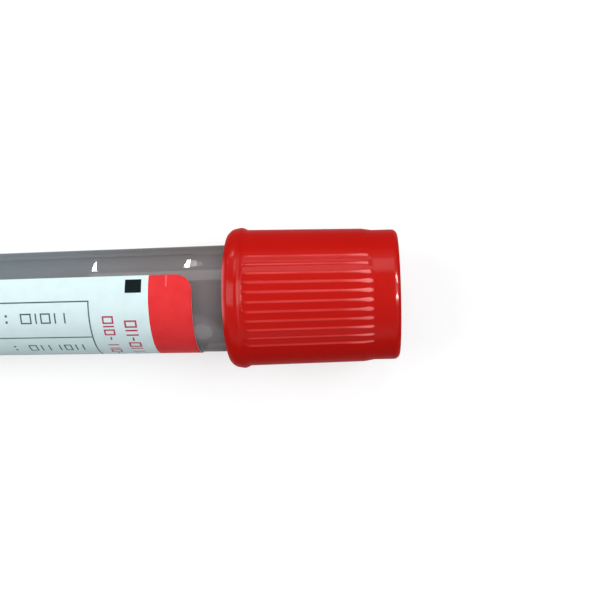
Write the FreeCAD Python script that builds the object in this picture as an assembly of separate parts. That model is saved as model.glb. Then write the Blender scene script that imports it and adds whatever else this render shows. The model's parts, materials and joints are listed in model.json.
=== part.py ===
"""Blood collection tube: a drafted plastic tube, a rubber stopper, a safety cap and a wrap label.

Every piece is drawn about the tube's own axis, which runs along X from the closed tip (s = 0) to the
mouth (s = tube_length). A place on a piece is given by s along the axis, r from the axis, and the angle
round it, which is 0 on the upper side of the lying tube and grows towards -Y. The finished pieces are
then laid down together, as the real tube lies on a bench: on its round bottom and on the cap's rim.

Lengths are millimetres, angles are degrees.
"""
import FreeCAD, Part
import math
import os
from FreeCAD import Rotation, Vector

# ---- tube: one moulded piece, open at the mouth
tube_length = 75.0          # tip to mouth
mouth_outer_r = 6.5         # a 13 mm tube
bottom_outer_r = 5.95       # the round bottom, at the small end of the draft
tube_wall = 1.0
tube_rim_bevel = 0.25       # on the mouth's edges
gate_r = 0.6                # the moulding gate's stub at the tip
gate_height = 0.2

# ---- rubber stopper: plug in the bore, flange on the rim, neck through the cap, head above it
plug_length = 7.0
plug_relief = 0.3           # how far the plug's waist stands back from the bore
seal_clearance = 0.05       # running clearance of the sealing rings in the bore
seal_ring_count = 2
seal_ring_land = 0.5        # straight part of a ring's crest, along the axis
seal_ring_slope = 0.5       # length of a ring's flank, along the axis
flange_inset = 0.1          # flange edge back from the tube's outer wall
flange_thickness = 1.3
neck_r = 4.0
head_overhang = 0.9         # head's edge beyond the neck
head_thickness = 1.2
stopper_bevel = 0.2
plug_hollow_r = 2.9         # at the plug's end
plug_hollow_end_r = 1.9     # at the hollow's bottom
plug_hollow_depth = 4.2
dimple_r = 2.2              # where the needle goes in
dimple_floor_r = 1.2
dimple_depth = 0.4

# ---- safety cap: one moulded piece around the stopper and the mouth
cap_length = 20.0
skirt_cover = 11.7          # how far the cap reaches down over the tube
skirt_clearance = 0.45      # skirt's bore to the tube's outer wall at the mouth
lead_in = 0.4               # chamfer at the skirt's mouth
lip_land = 0.35             # flat of the lip, outside the chamfer
skirt_wall = 1.19           # skirt's wall just above the crease
barrel_taper = 0.24         # how much the barrel's radius loses up to its shoulder
shoulder_drop = 0.2         # step in radius from the barrel to the collar
shoulder_length = 1.2
bead_rise = 0.28            # crest of the rim bead above the barrel
bead_round_r = 0.8          # rounding of the crest, between the bead's straight flanks
bead_crest_at = 1.55        # lip to crest
bead_back = 0.75            # crest to the crease behind the bead
collar_length = 3.0
collar_edge_r = 0.7
collar_wall = 1.5           # collar's wall round the well in the cap's top
well_bevel = 0.25
ledge_thickness = 1.1       # the inner ledge that grips the stopper's neck
neck_clearance = 0.05

# ---- finger ridges on the barrel: concave flutes in two groups on opposite sides
flute_count = 10            # flutes in a group, which leave one ridge fewer between them
flute_pitch = 7.75          # angle from flute to flute
flute_r = 0.7
flute_depth = 0.13          # below the barrel's surface at the crease
flute_runout = 0.005        # height over the collar at which a flute runs out
group_count = 2
group_angle = 4.0           # middle of the upper group

# ---- ribs inside the skirt, which centre the cap on the tube
inner_rib_count = 8
inner_rib_width = 0.8
inner_rib_clearance = 0.12  # rib to the tube's outer wall at the mouth
inner_rib_length = 6.0
inner_rib_from_lip = 2.5

# ---- label: one wrapped sheet
label_length = 46.0
label_to_cap = 3.6          # bare tube between the label and the cap's lip
label_from_angle = -28.6    # its first edge
label_wrap = 270.0
label_thickness = 0.1
label_lift = 0.02           # the film of glue
label_corner_r = 2.0

# ---- places worked out from the sizes above
axis_start = Vector(0, 0, 0)
axis_along = Vector(1, 0, 0)
cone_run = tube_length - bottom_outer_r
draft = math.asin((mouth_outer_r - bottom_outer_r) / cone_run)
seam_angle = 90.0           # the turned wall closes at its side, clear of the line it rests on
lip_s = tube_length - skirt_cover
cap_top_s = lip_s + cap_length
collar_s = cap_top_s - collar_length
shoulder_s = collar_s - shoulder_length
bead_crest_s = lip_s + bead_crest_at
crease_s = bead_crest_s + bead_back
flange_top_s = tube_length + flange_thickness
ledge_top_s = flange_top_s + ledge_thickness
head_top_s = ledge_top_s + head_thickness
skirt_r = mouth_outer_r + skirt_clearance
lip_r = skirt_r + lead_in + lip_land
barrel_low_r = skirt_r + skirt_wall
barrel_high_r = barrel_low_r - barrel_taper
collar_r = barrel_high_r - shoulder_drop
bead_r = barrel_low_r + bead_rise
well_r = collar_r - collar_wall
head_r = neck_r + head_overhang
label_end_s = lip_s - label_to_cap
label_start_s = label_end_s - label_length


def tube_outer_r(s):
    """Outer radius of the tube's straight draft at s, which is tangent to the round bottom."""
    return bottom_outer_r / math.cos(draft) + (s - bottom_outer_r) * math.tan(draft)


def bore_r(s):
    """Radius of the bore at s: the outer wall less the wall's thickness across the draft."""
    return tube_outer_r(s) - tube_wall / math.cos(draft)


class Section:
    """A half section in (s, r), drawn edge by edge and then turned about the axis."""

    def __init__(self, s, r):
        self.start = Vector(s, 0, r)
        self.here = self.start
        self.edges = []

    def line(self, s, r):
        """Draw a straight edge to (s, r)."""
        end = Vector(s, 0, r)
        self.edges.append(Part.makeLine(self.here, end))
        self.here = end
        return self

    def about(self, s_centre, r_centre, s, r):
        """Draw the shorter arc about a centre to (s, r)."""
        centre = Vector(s_centre, 0, r_centre)
        end = Vector(s, 0, r)
        radius = (self.here - centre).Length
        middle = centre + (self.here + end - centre * 2).normalize() * radius
        self.edges.append(Part.Arc(self.here, middle, end).toShape())
        self.here = end
        return self

    def face(self):
        """Close the section back to its start."""
        if (self.here - self.start).Length > 1e-6:
            self.line(self.start.x, self.start.z)
        return Part.Face(Part.Wire(self.edges))

    def turned(self, from_angle=0.0, sweep=360.0):
        """Turn the section about the axis, from one angle through a sweep."""
        face = self.face()
        face.rotate(axis_start, axis_along, from_angle)
        return face.revolve(axis_start, axis_along, sweep)


def turned_copy(shape, angle):
    """A copy of the shape, turned about the axis."""
    copy = shape.copy()
    copy.rotate(axis_start, axis_along, angle)
    return copy


def spread(count, pitch, middle):
    """Angles of a row of things with one pitch about a middle angle."""
    return [middle + (i - (count - 1) / 2) * pitch for i in range(count)]


def sphere_meets_draft(radius):
    """The (s, r) at which a sphere about the round bottom's centre runs into the drafted wall."""
    return bottom_outer_r - radius * math.sin(draft), radius * math.cos(draft)


def make_tube():
    """The drafted tube: round bottom with the gate's stub, straight wall, bevelled mouth."""
    inner_bottom_r = bottom_outer_r - tube_wall
    stub_s = bottom_outer_r - math.sqrt(bottom_outer_r**2 - gate_r**2)
    outer_s, outer_r = sphere_meets_draft(bottom_outer_r)
    inner_s, inner_r = sphere_meets_draft(inner_bottom_r)
    rim_s = tube_length - tube_rim_bevel
    section = Section(-gate_height, 0)
    section.line(-gate_height, gate_r)
    section.line(stub_s, gate_r)
    section.about(bottom_outer_r, 0, outer_s, outer_r)
    section.line(rim_s, tube_outer_r(rim_s))
    section.line(tube_length, tube_outer_r(rim_s) - tube_rim_bevel)
    section.line(tube_length, bore_r(rim_s) + tube_rim_bevel)
    section.line(rim_s, bore_r(rim_s))
    section.line(inner_s, inner_r)
    section.about(bottom_outer_r, 0, tube_wall, 0)
    return section.turned(seam_angle)


def make_stopper():
    """The stopper: hollow plug with sealing rings, flange, neck, and a head with a dimple."""
    plug_s = tube_length - plug_length
    plug_r = bore_r(plug_s) - plug_relief
    flange_r = mouth_outer_r - flange_inset
    bevel = stopper_bevel
    hollow_end_s = plug_s + plug_hollow_depth
    dimple_s = head_top_s - dimple_depth
    section = Section(hollow_end_s, 0)
    section.line(hollow_end_s, plug_hollow_end_r)
    section.line(plug_s, plug_hollow_r)
    section.line(plug_s, plug_r - bevel)
    section.line(plug_s + bevel, plug_r)
    ring_pitch = plug_length / (seal_ring_count + 1)
    for i in range(seal_ring_count):
        land_start_s = plug_s + ring_pitch * (i + 1) - seal_ring_land / 2
        land_end_s = land_start_s + seal_ring_land
        ring_r = bore_r(land_start_s) - seal_clearance / math.cos(draft)
        section.line(land_start_s - seal_ring_slope, plug_r)
        section.line(land_start_s, ring_r)
        section.line(land_end_s, ring_r)
        section.line(land_end_s + seal_ring_slope, plug_r)
    section.line(tube_length, plug_r)
    section.line(tube_length, flange_r - bevel)
    section.line(tube_length + bevel, flange_r)
    section.line(flange_top_s, flange_r)
    section.line(flange_top_s, neck_r)
    section.line(ledge_top_s, neck_r)
    section.line(ledge_top_s, head_r)
    section.line(head_top_s - bevel, head_r)
    section.line(head_top_s, head_r - bevel)
    section.line(head_top_s, dimple_r)
    section.line(dimple_s, dimple_floor_r)
    section.line(dimple_s, 0)
    return section.turned()


def flank_angle(end_s, end_r):
    """How far round the bead's crest, from its highest point, the flank from an end point meets it."""
    run = abs(bead_crest_s - end_s)
    rise = end_r - (bead_r - bead_round_r)
    return math.atan2(run, rise) - math.acos(bead_round_r / math.hypot(run, rise))


def make_cap_shell():
    """The cap turned about the axis: skirt with its bead, barrel, shoulder, collar, ledge and well."""
    round_r = bead_round_r
    round_centre_r = bead_r - round_r
    low_angle = flank_angle(lip_s, lip_r)
    high_angle = flank_angle(crease_s, barrel_low_r)
    low_s = bead_crest_s - round_r * math.sin(low_angle)
    high_s = bead_crest_s + round_r * math.sin(high_angle)
    edge = collar_edge_r
    hole_r = neck_r + neck_clearance
    section = Section(lip_s, skirt_r + lead_in)
    section.line(lip_s, lip_r)
    section.line(low_s, round_centre_r + round_r * math.cos(low_angle))
    section.about(bead_crest_s, round_centre_r, high_s, round_centre_r + round_r * math.cos(high_angle))
    section.line(crease_s, barrel_low_r)
    section.line(shoulder_s, barrel_high_r)
    section.line(collar_s, collar_r)
    section.line(cap_top_s - edge, collar_r)
    section.about(cap_top_s - edge, collar_r - edge, cap_top_s, collar_r - edge)
    section.line(cap_top_s, well_r + well_bevel)
    section.line(cap_top_s - well_bevel, well_r)
    section.line(ledge_top_s, well_r)
    section.line(ledge_top_s, hole_r)
    section.line(flange_top_s, hole_r)
    section.line(flange_top_s, skirt_r)
    section.line(lip_s + lead_in, skirt_r)
    return section.turned()


def make_flute_tool():
    """The round tool that leaves one flute: from the crease, running out at the collar."""
    low = Vector(crease_s, 0, barrel_low_r - flute_depth + flute_r)
    high = Vector(collar_s, 0, collar_r + flute_runout + flute_r)
    along = high - low
    return Part.makeCylinder(flute_r, along.Length, low, along)


def make_inner_rib():
    """One rib inside the skirt, rooted in the skirt's wall."""
    tip_r = mouth_outer_r + inner_rib_clearance
    root_r = skirt_r + skirt_clearance / 2
    corner = Vector(lip_s + inner_rib_from_lip, -inner_rib_width / 2, tip_r)
    return Part.makeBox(inner_rib_length, inner_rib_width, root_r - tip_r, corner)


def make_safety_cap():
    """The cap with its two groups of flutes and the ribs inside its skirt."""
    flute = make_flute_tool()
    rib = make_inner_rib()
    groups = [group_angle + 360 / group_count * i for i in range(group_count)]
    angles = [a for middle in groups for a in spread(flute_count, flute_pitch, middle)]
    cap = make_cap_shell()
    cap = cap.fuse([turned_copy(rib, 360 / inner_rib_count * i) for i in range(inner_rib_count)])
    return cap.cut([turned_copy(flute, angle) for angle in angles])


def make_corner_tool(corner_s, inward_s, corner_angle, inward_angle):
    """What is trimmed off one corner of the label to round it."""
    radius = label_corner_r
    sheet_r = tube_outer_r(corner_s) + label_lift
    turn = math.degrees(math.asin(radius / sheet_r)) * inward_angle
    reach = radius * 2
    overshoot = radius / 2
    low_s = corner_s - overshoot * inward_s
    high_s = corner_s + radius * inward_s
    block = Section(low_s, sheet_r - overshoot)
    block.line(high_s, sheet_r - overshoot)
    block.line(high_s, sheet_r + overshoot)
    block.line(low_s, sheet_r + overshoot)
    block = block.turned(corner_angle - turn / 2, turn * 1.5)
    round_bar = Part.makeCylinder(radius, reach, Vector(high_s, 0, sheet_r - overshoot))
    return block.cut(turned_copy(round_bar, corner_angle + turn))


def make_label():
    """The label: a thin sheet on the drafted wall, with rounded corners."""
    start_r = tube_outer_r(label_start_s) + label_lift
    end_r = tube_outer_r(label_end_s) + label_lift
    sheet = Section(label_start_s, start_r)
    sheet.line(label_end_s, end_r)
    sheet.line(label_end_s, end_r + label_thickness)
    sheet.line(label_start_s, start_r + label_thickness)
    sheet = sheet.turned(label_from_angle, label_wrap)
    last_angle = label_from_angle + label_wrap
    ends = [(label_start_s, 1), (label_end_s, -1)]
    sides = [(label_from_angle, 1), (last_angle, -1)]
    return sheet.cut([make_corner_tool(*end, *side) for end in ends for side in sides])


def lying_placement():
    """Lay the tube on its round bottom and the cap's bead, with the origin under its middle."""
    run = bead_crest_s - bottom_outer_r
    rise = bead_r - bead_round_r
    tilt = math.asin((bead_round_r - bottom_outer_r) / math.hypot(run, rise)) + math.atan2(rise, run)
    height = bottom_outer_r - bottom_outer_r * math.sin(tilt)
    top_edge_s = cap_top_s - collar_edge_r
    top_edge_r = collar_r - collar_edge_r
    right = top_edge_s * math.cos(tilt) + top_edge_r * math.sin(tilt) + collar_edge_r
    left = -gate_height * math.cos(tilt) - gate_r * math.sin(tilt)
    lying = Rotation(Vector(0, 1, 0), -math.degrees(tilt))
    return FreeCAD.Placement(Vector(-(left + right) / 2, 0, height), lying)


def main():
    """Build each piece about the axis, lay it down and write it."""
    pieces = {
        "tube": make_tube(),
        "stopper": make_stopper(),
        "safety_cap": make_safety_cap(),
        "label": make_label(),
    }
    placement = lying_placement()
    os.makedirs("parts", exist_ok=True)
    for name, shape in pieces.items():
        solid = shape.Solids[0]
        solid.Placement = placement.multiply(solid.Placement)
        solid.exportStep(os.path.join("parts", name + ".step"))
        box = solid.BoundBox
        print(name, "solids", len(shape.Solids), "valid", solid.isValid(), "volume", round(solid.Volume, 2),
              "box", [round(v, 3) for v in (box.XMin, box.YMin, box.ZMin, box.XMax, box.YMax, box.ZMax)])
    print("tilt", round(math.degrees(2 * math.asin(abs(placement.Rotation.Q[1]))), 4),
          "origin shift", placement.Base)


main()
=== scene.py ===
"""Dresses the blood collection tube: the moulded tube, its stopper, the ridged safety cap and the label.

Every piece is drawn about the tube's own axis. A place on a piece is given by s along the axis from the
closed tip, r from the axis, both in millimetres, and the angle round it in degrees, which is 0 on the upper
side of the lying tube and grows towards -Y. Blender is given metres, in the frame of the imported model.
"""
from __future__ import annotations

import json
import logging
import math
from dataclasses import dataclass, field
from enum import Enum, IntEnum
from typing import Any, Callable, Sequence

import bmesh
import bpy
from mathutils import Matrix, Vector

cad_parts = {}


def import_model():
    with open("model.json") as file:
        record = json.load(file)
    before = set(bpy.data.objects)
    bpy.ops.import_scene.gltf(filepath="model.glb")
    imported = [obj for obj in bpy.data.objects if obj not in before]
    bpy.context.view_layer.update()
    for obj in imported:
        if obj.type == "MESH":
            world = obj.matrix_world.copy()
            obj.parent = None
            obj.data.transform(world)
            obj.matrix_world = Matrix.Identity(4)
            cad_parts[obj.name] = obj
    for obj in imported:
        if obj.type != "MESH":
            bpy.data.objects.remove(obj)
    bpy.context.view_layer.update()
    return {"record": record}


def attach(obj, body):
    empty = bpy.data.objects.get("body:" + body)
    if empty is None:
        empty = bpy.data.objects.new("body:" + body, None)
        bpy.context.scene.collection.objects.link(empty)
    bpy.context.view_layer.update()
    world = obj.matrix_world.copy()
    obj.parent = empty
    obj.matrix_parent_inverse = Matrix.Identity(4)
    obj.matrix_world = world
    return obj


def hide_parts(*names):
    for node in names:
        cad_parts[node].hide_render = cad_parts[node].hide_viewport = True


MM = 0.001
RACK_BODY_S = 30.0
ON_AXIS = 1e-6
log = logging.getLogger("blood_tube")

Colour = tuple[float, float, float]
Span = tuple[float, float]
Place = tuple[float, float, float]
Ring = tuple[float, float, int]


@dataclass(frozen=True)
class TubeAxis:
    """The tube's own axis, as it lies: the closed tip, and the direction towards the cap."""

    tip: Vector
    along: Vector

    @classmethod
    def from_record(cls, record: dict[str, Any]) -> TubeAxis:
        """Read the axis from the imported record.

        Args:
            record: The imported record, whose rack_body mount sits on the axis, RACK_BODY_S from the tip.

        Returns:
            The axis in the row frame.
        """
        along = Vector(record["behaviour"]["joints"][0]["axis"]).normalized()
        rack = next(mount for mount in record["mounts"] if mount["name"] == "rack_body")
        return cls(Vector(rack["pos_m"]) - along * RACK_BODY_S * MM, along)

    @property
    def up(self) -> Vector:
        """The direction square to the axis on its upper side."""
        return Vector((-self.along.z, 0.0, self.along.x))

    @property
    def tilt(self) -> float:
        """How far the axis rises towards the cap, in radians."""
        return math.atan2(self.along.z, self.along.x)

    def place(self, s: float, r: float, angle: float) -> Vector:
        """A point in metres from its place along, from and round the axis."""
        turn = math.radians(angle)
        out = self.up * math.cos(turn) - Vector((0.0, 1.0, 0.0)) * math.sin(turn)
        return self.tip + (self.along * s + out * r) * MM


class Varying:
    """A number that varies over a surface: a node's output with arithmetic on it."""

    def __init__(self, nodes: Nodes, socket: bpy.types.NodeSocket) -> None:
        """Wrap one output of a node tree."""
        self.nodes = nodes
        self.socket = socket

    def _math(self, operation: str, *values: Varying | float) -> Varying:
        """The result of one Math node on these values."""
        node = self.nodes.make("ShaderNodeMath", {"operation": operation}, dict(enumerate(values)))
        return Varying(self.nodes, node.outputs[0])

    def __add__(self, other: Varying | float) -> Varying:
        """Sum."""
        return self._math("ADD", self, other)

    def __radd__(self, other: float) -> Varying:
        """Sum, with the number first."""
        return self._math("ADD", other, self)

    def __sub__(self, other: Varying | float) -> Varying:
        """Difference."""
        return self._math("SUBTRACT", self, other)

    def __rsub__(self, other: float) -> Varying:
        """Difference, with the number first."""
        return self._math("SUBTRACT", other, self)

    def __mul__(self, other: Varying | float) -> Varying:
        """Product."""
        return self._math("MULTIPLY", self, other)

    def __rmul__(self, other: float) -> Varying:
        """Product, with the number first."""
        return self._math("MULTIPLY", other, self)

    def larger(self, other: Varying | float) -> Varying:
        """The larger of the two."""
        return self._math("MAXIMUM", self, other)

    def size(self) -> Varying:
        """The number without its sign."""
        return self._math("ABSOLUTE", self)

    def wrapped(self, low: float, high: float) -> Varying:
        """The number brought between two limits by whole steps of their distance."""
        return self._math("WRAP", self, high, low)

    def length_with(self, *others: Varying) -> Varying:
        """Length of a line with this number and the others as its runs, square to each other."""
        total = self * self
        for other in others:
            total = total + other * other
        return self._math("SQRT", total)

    def bearing(self, base: Varying) -> Varying:
        """Angle in degrees of the line with this rise over the base."""
        return self._math("ARCTAN2", self, base) * math.degrees(1.0)

    def ramp(self, low: float, high: float, start: float = 0.0, end: float = 1.0) -> Varying:
        """Carry the number smoothly from one range to another.

        Args:
            low: Value at which the result is start.
            high: Value at which the result is end.
            start: Result at and below low.
            end: Result at and above high.

        Returns:
            The carried number, which stays between start and end.
        """
        settings = {"interpolation_type": "SMOOTHSTEP", "clamp": True}
        node = self.nodes.make("ShaderNodeMapRange", settings, {0: self, 1: low, 2: high, 3: start, 4: end})
        return Varying(self.nodes, node.outputs[0])

    def tint(self, first: Any, second: Any) -> bpy.types.NodeSocket:
        """Mix two colours by this number.

        Args:
            first: Colour at 0, or an output that gives it.
            second: Colour at 1, or an output that gives it.

        Returns:
            The mixed colour's output.
        """
        inputs = {0: self, 6: full(first), 7: full(second)}
        return self.nodes.make("ShaderNodeMix", {"data_type": "RGBA"}, inputs).outputs[2]


class Nodes:
    """The nodes of one material or of the world, and the one way in which they are made."""

    def __init__(self, tree: bpy.types.NodeTree) -> None:
        """Start from an empty tree."""
        tree.nodes.clear()
        self.tree = tree

    def make(self, kind: str, settings: dict[str, Any] | None = None,
             inputs: dict[Any, Any] | None = None) -> bpy.types.Node:
        """Make a node.

        Args:
            kind: The node's type.
            settings: Its settings, which are set first.
            inputs: Values or links for its inputs, by name or number.

        Returns:
            The new node.
        """
        node = self.tree.nodes.new(kind)
        for name, value in (settings or {}).items():
            setattr(node, name, value)
        for name, value in (inputs or {}).items():
            source = value.socket if isinstance(value, Varying) else value
            if isinstance(source, bpy.types.NodeSocket):
                self.tree.links.new(source, node.inputs[name])
            else:
                node.inputs[name].default_value = source
        return node

    def seen(self) -> Varying:
        """One where a thing is seen, straight or in gloss or through a wall, and 0 where it lights."""
        rays = self.make("ShaderNodeLightPath").outputs
        camera, glossy, through = (Varying(self, rays[f"Is {kind} Ray"])
                                   for kind in ("Camera", "Glossy", "Transmission"))
        return camera.larger(glossy).larger(through)


@dataclass(frozen=True)
class Spot:
    """A round spot about a point given along, across and above the axis, in millimetres."""

    s: float
    across: float
    height: float
    radius: float
    core: float = 0.75


class Surface:
    """Where a point of a piece lies on the tube, for the patterns of a finish."""

    def __init__(self, nodes: Nodes, axis: TubeAxis) -> None:
        """Set up coordinates in the tube's own frame: x along the axis, z up."""
        self.nodes = nodes
        found = nodes.make("ShaderNodeTexCoord").outputs["Object"]
        inputs = {"Vector": found, "Location": axis.tip, "Rotation": (0.0, -axis.tilt, 0.0)}
        self.vector = nodes.make("ShaderNodeMapping", {"vector_type": "TEXTURE"}, inputs).outputs[0]
        split = nodes.make("ShaderNodeSeparateXYZ", {}, {0: self.vector})
        self.along, self.across, self.height = (Varying(nodes, out) * (1 / MM) for out in split.outputs)

    def noise(self, size: float, detail: float = 2.0, stretch: float = 1.0,
              roughness: float = 0.5) -> Varying:
        """Soft noise between 0 and 1.

        Args:
            size: Size of its blotches in millimetres.
            detail: How many finer layers lie on it.
            stretch: How many times longer a blotch is along the tube.
            roughness: Weight of the finer layers.

        Returns:
            The noise.
        """
        spread = {0: self.vector, 1: (1 / stretch, 1.0, 1.0)}
        vector = self.nodes.make("ShaderNodeVectorMath", {"operation": "MULTIPLY"}, spread).outputs[0]
        inputs = {"Vector": vector, "Scale": 1 / (size * MM), "Detail": detail, "Roughness": roughness}
        return Varying(self.nodes, self.nodes.make("ShaderNodeTexNoise", {}, inputs).outputs[0])

    @property
    def angle(self) -> Varying:
        """The angle round the axis in degrees, from -180 to 180."""
        return (self.across * -1.0).bearing(self.height)

    @property
    def radius(self) -> Varying:
        """The distance from the axis in millimetres."""
        return self.across.length_with(self.height)

    def near(self, spot: Spot) -> Varying:
        """One inside a spot, with a soft edge, and 0 outside it."""
        away = (self.along - spot.s).length_with(self.across - spot.across, self.height - spot.height)
        return away.ramp(spot.radius * spot.core, spot.radius, 1.0, 0.0)

    def edge_on(self, blend: float) -> Varying:
        """How far the wall is seen edge on, where gloss fades and a clear wall hides more."""
        node = self.nodes.make("ShaderNodeLayerWeight", {}, {"Blend": blend})
        return Varying(self.nodes, node.outputs["Facing"])

    def bump(self, height: Varying, depth: float) -> bpy.types.NodeSocket:
        """Normals for a relief of this depth in millimetres."""
        return self.nodes.make("ShaderNodeBump", {}, {"Height": height, "Distance": depth * MM}).outputs[0]


def full(colour: Any) -> Any:
    """The colour with its fourth number, or the output as it is."""
    return colour if isinstance(colour, bpy.types.NodeSocket) else (*colour, 1.0)


@dataclass(frozen=True)
class Finish:
    """One finish: a Principled shader with its fixed values, dressed by the kinds of finish below."""

    name: str
    colour: Colour
    roughness: float = 0.4
    gloss: float = 1.5

    def material(self, axis: TubeAxis) -> bpy.types.Material:
        """The material, made the first time it is asked for.

        Args:
            axis: The tube's axis, which the patterns follow.

        Returns:
            The material.
        """
        found = bpy.data.materials.get(self.name)
        if found:
            return found
        made = bpy.data.materials.new(self.name)
        made.use_nodes = True
        nodes = Nodes(made.node_tree)
        inputs = {**self.fixed(), **self.patterns(Surface(nodes, axis))}
        shader = nodes.make("ShaderNodeBsdfPrincipled", {}, inputs)
        nodes.make("ShaderNodeOutputMaterial", {}, {"Surface": shader.outputs[0]})
        return made

    def fixed(self) -> dict[str, Any]:
        """Values that are the same all over."""
        return {"IOR": self.gloss}

    def patterns(self, surface: Surface) -> dict[str, Any]:
        """Values that vary over the piece."""
        raise NotImplementedError


@dataclass(frozen=True)
class Polished(Finish):
    """A finish whose polish lies in a coat, which fades where it is seen edge on."""

    coat_gloss: float = 1.5
    coat_roughness: float = 0.05
    coat_fade: Span = (0.2, 0.5)

    def fixed(self) -> dict[str, Any]:
        """Values that are the same all over, the coat's among them."""
        return {"IOR": self.gloss, "Coat IOR": self.coat_gloss, "Coat Roughness": self.coat_roughness}

    def coat(self, surface: Surface) -> Varying:
        """How much of the coat there is."""
        return surface.edge_on(0.5).ramp(*self.coat_fade, 1.0, 0.0)


@dataclass(frozen=True)
class PaintedHighlight:
    """Painted highlights on the cap's crests, flares and lip: places in millimetres, angles in degrees."""

    highlight_from_r: Span = (7.15, 7.35)
    lip_s: Span = (63.4, 63.9)
    bead_s: float = 65.2
    bead_half: Span = (0.03, 0.16)
    bead_share: float = 0.35
    bead_angle: float = -6.0
    bead_reach: Span = (16.0, 36.0)
    ridge_pitch: float = 7.75
    ridge_count: int = 11
    ridge_middle: float = 4.0
    ridge_half: Span = (0.45, 1.35)
    ridge_side: Span = (0.6, 1.6)
    ridge_start_s: Span = (65.7, 66.5)
    ridge_end_s: Span = (80.1, 80.35)
    early_angle: Span = (-27.0, -13.0)
    early_by: float = 0.5
    flare_s: Span = (78.4, 80.0)
    flare_end_s: Span = (79.85, 80.2)
    flare_width: float = 0.85
    flare_angle: float = -1.0
    flare_reach: Span = (12.0, 26.0)
    flare_share: float = 0.35
    brightest_s: Span = (76.5, 79.8)

    def ridges(self, surface: Surface) -> Varying:
        """One on the painted highlights of the ridge crests, widening into painted flares where the flutes
        run out.
        """
        around = (surface.angle - self.ridge_middle).wrapped(-90.0, 90.0)
        off = around.wrapped(-self.ridge_pitch / 2, self.ridge_pitch / 2).size()
        # painted flares: the highlight lines widen where the flutes run out, brightest near one angle round
        # the cap
        flare = surface.along.ramp(*self.flare_s, 0.0, self.flare_width)
        flare = flare * surface.along.ramp(*self.flare_end_s, 1.0, 0.1)
        away = (surface.angle - self.flare_angle).size()
        flare = flare * away.ramp(*self.flare_reach, 1.0, self.flare_share)
        last = self.ridge_pitch * (self.ridge_count - 1) / 2
        among = around.size().ramp(last + self.ridge_side[0], last + self.ridge_side[1], 1.0, 0.0)
        reached = surface.along + surface.angle.ramp(*self.early_angle, self.early_by, 0.0)
        ends = surface.along.ramp(*self.ridge_start_s) * reached.ramp(*self.ridge_end_s, 1.0, 0.0)
        return (off - flare).ramp(*self.ridge_half, 1.0, 0.0) * among * ends

    def rim(self, surface: Surface) -> Varying:
        """One on the painted highlight along the cap's lip, and less on a fine painted highlight behind the
        bead.
        """
        line = (surface.along - self.bead_s).size().ramp(*self.bead_half, self.bead_share, 0.0)
        window = (surface.angle - self.bead_angle).size().ramp(*self.bead_reach, 1.0, 0.0)
        return line.larger(surface.along.ramp(*self.lip_s, 1.0, 0.0)) * window


@dataclass(frozen=True)
class MouldedPlastic(Polished):
    """Glossy coloured plastic from a polished mould, with faint flow marks and handling scuffs."""

    flow: Colour = (0.0, 0.0, 0.0)
    # colours of the painted highlights, and of their palest parts at the flares' ends and on the lip
    mottle_and_highlight: Colour = (0.0, 0.0, 0.0)
    brightest_highlight: Colour = (0.0, 0.0, 0.0)
    painted_highlight: PaintedHighlight = PaintedHighlight()

    def patterns(self, surface: Surface) -> dict[str, Any]:
        """Flow marks in the colour, painted highlights on crests and lip, scuffs in the gloss, and the
        mould's fine ripple.
        """
        flow = surface.noise(5.0, detail=3.0, stretch=2.5).ramp(0.3, 0.7)
        scuffs = surface.noise(0.35, detail=4.0, stretch=5.0, roughness=0.7).ramp(0.55, 0.8, 0.0, 0.12)
        ripple = surface.noise(0.9, detail=3.0, stretch=1.5)
        highlight_breakup = surface.noise(1.5, detail=3.0, stretch=3.0).ramp(0.2, 0.7, 0.6, 1.0)
        rim = self.painted_highlight.rim(surface)
        # painted highlights on the crests and lip, broken up by noise, only on the outer surface
        highlight_mask = self.painted_highlight.ridges(surface).larger(rim) * highlight_breakup * surface.radius.ramp(*self.painted_highlight.highlight_from_r)
        # painted highlight colour, palest towards the flares' ends and on the lip
        mottle_and_highlight = surface.along.ramp(*self.painted_highlight.brightest_s).larger(rim).tint(self.mottle_and_highlight, self.brightest_highlight)
        return {
            "Base Color": highlight_mask.tint(flow.tint(self.colour, self.flow), mottle_and_highlight),
            "Roughness": scuffs + self.roughness,
            "Coat Weight": self.coat(surface),
            "Normal": surface.bump(ripple, depth=0.006),
        }


@dataclass(frozen=True)
class ClearWall(Polished):
    """The polished outer wall of the clear tube: mostly gloss, with a grey tint that is painted shade."""

    far_colour: Colour = (0.1, 0.1, 0.1)
    shift_s: Span = (36.0, 62.0)
    # a small painted reflection and a broad patch of painted light near the cap
    painted_light_colour: Colour = (0.1, 0.1, 0.1)
    painted_light_share: float = 0.4
    painted_light_spots: tuple[Spot, Spot] = (Spot(60.6, -3.9, 5.1, 1.3), Spot(59.6, -4.9, 4.1, 4.2))
    see_through: float = 0.45

    def patterns(self, surface: Surface) -> dict[str, Any]:
        """Haze along the draw, hair scratches, a slow ripple, and two pale spots near the label: a painted
        reflection and broader painted light.
        """
        haze = surface.noise(3.0, detail=3.0, stretch=6.0)
        scratches = surface.noise(0.12, detail=2.0, stretch=30.0, roughness=0.6).ramp(0.62, 0.75)
        ripple = surface.noise(2.2, detail=2.0, stretch=4.0)
        clear = surface.edge_on(0.35).ramp(0.0, 1.0, 1.0 - self.see_through, 1.0)
        # painted reflection (small spot) and painted light (large spot) on the wall
        small, large = (surface.near(spot) * self.painted_light_share for spot in self.painted_light_spots)
        # painted shade: grey, bluish under the label and warmer near the cap
        wall = surface.along.ramp(*self.shift_s).tint(self.far_colour, self.colour)
        return {
            "Base Color": (small + large).tint(wall, self.painted_light_colour),
            "Alpha": clear + haze * 0.06 + scratches * 0.05,
            "Roughness": scratches * 0.15 + haze * 0.05 + self.roughness,
            "Coat Weight": self.coat(surface),
            "Normal": surface.bump(ripple, depth=0.0002),
        }


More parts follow.
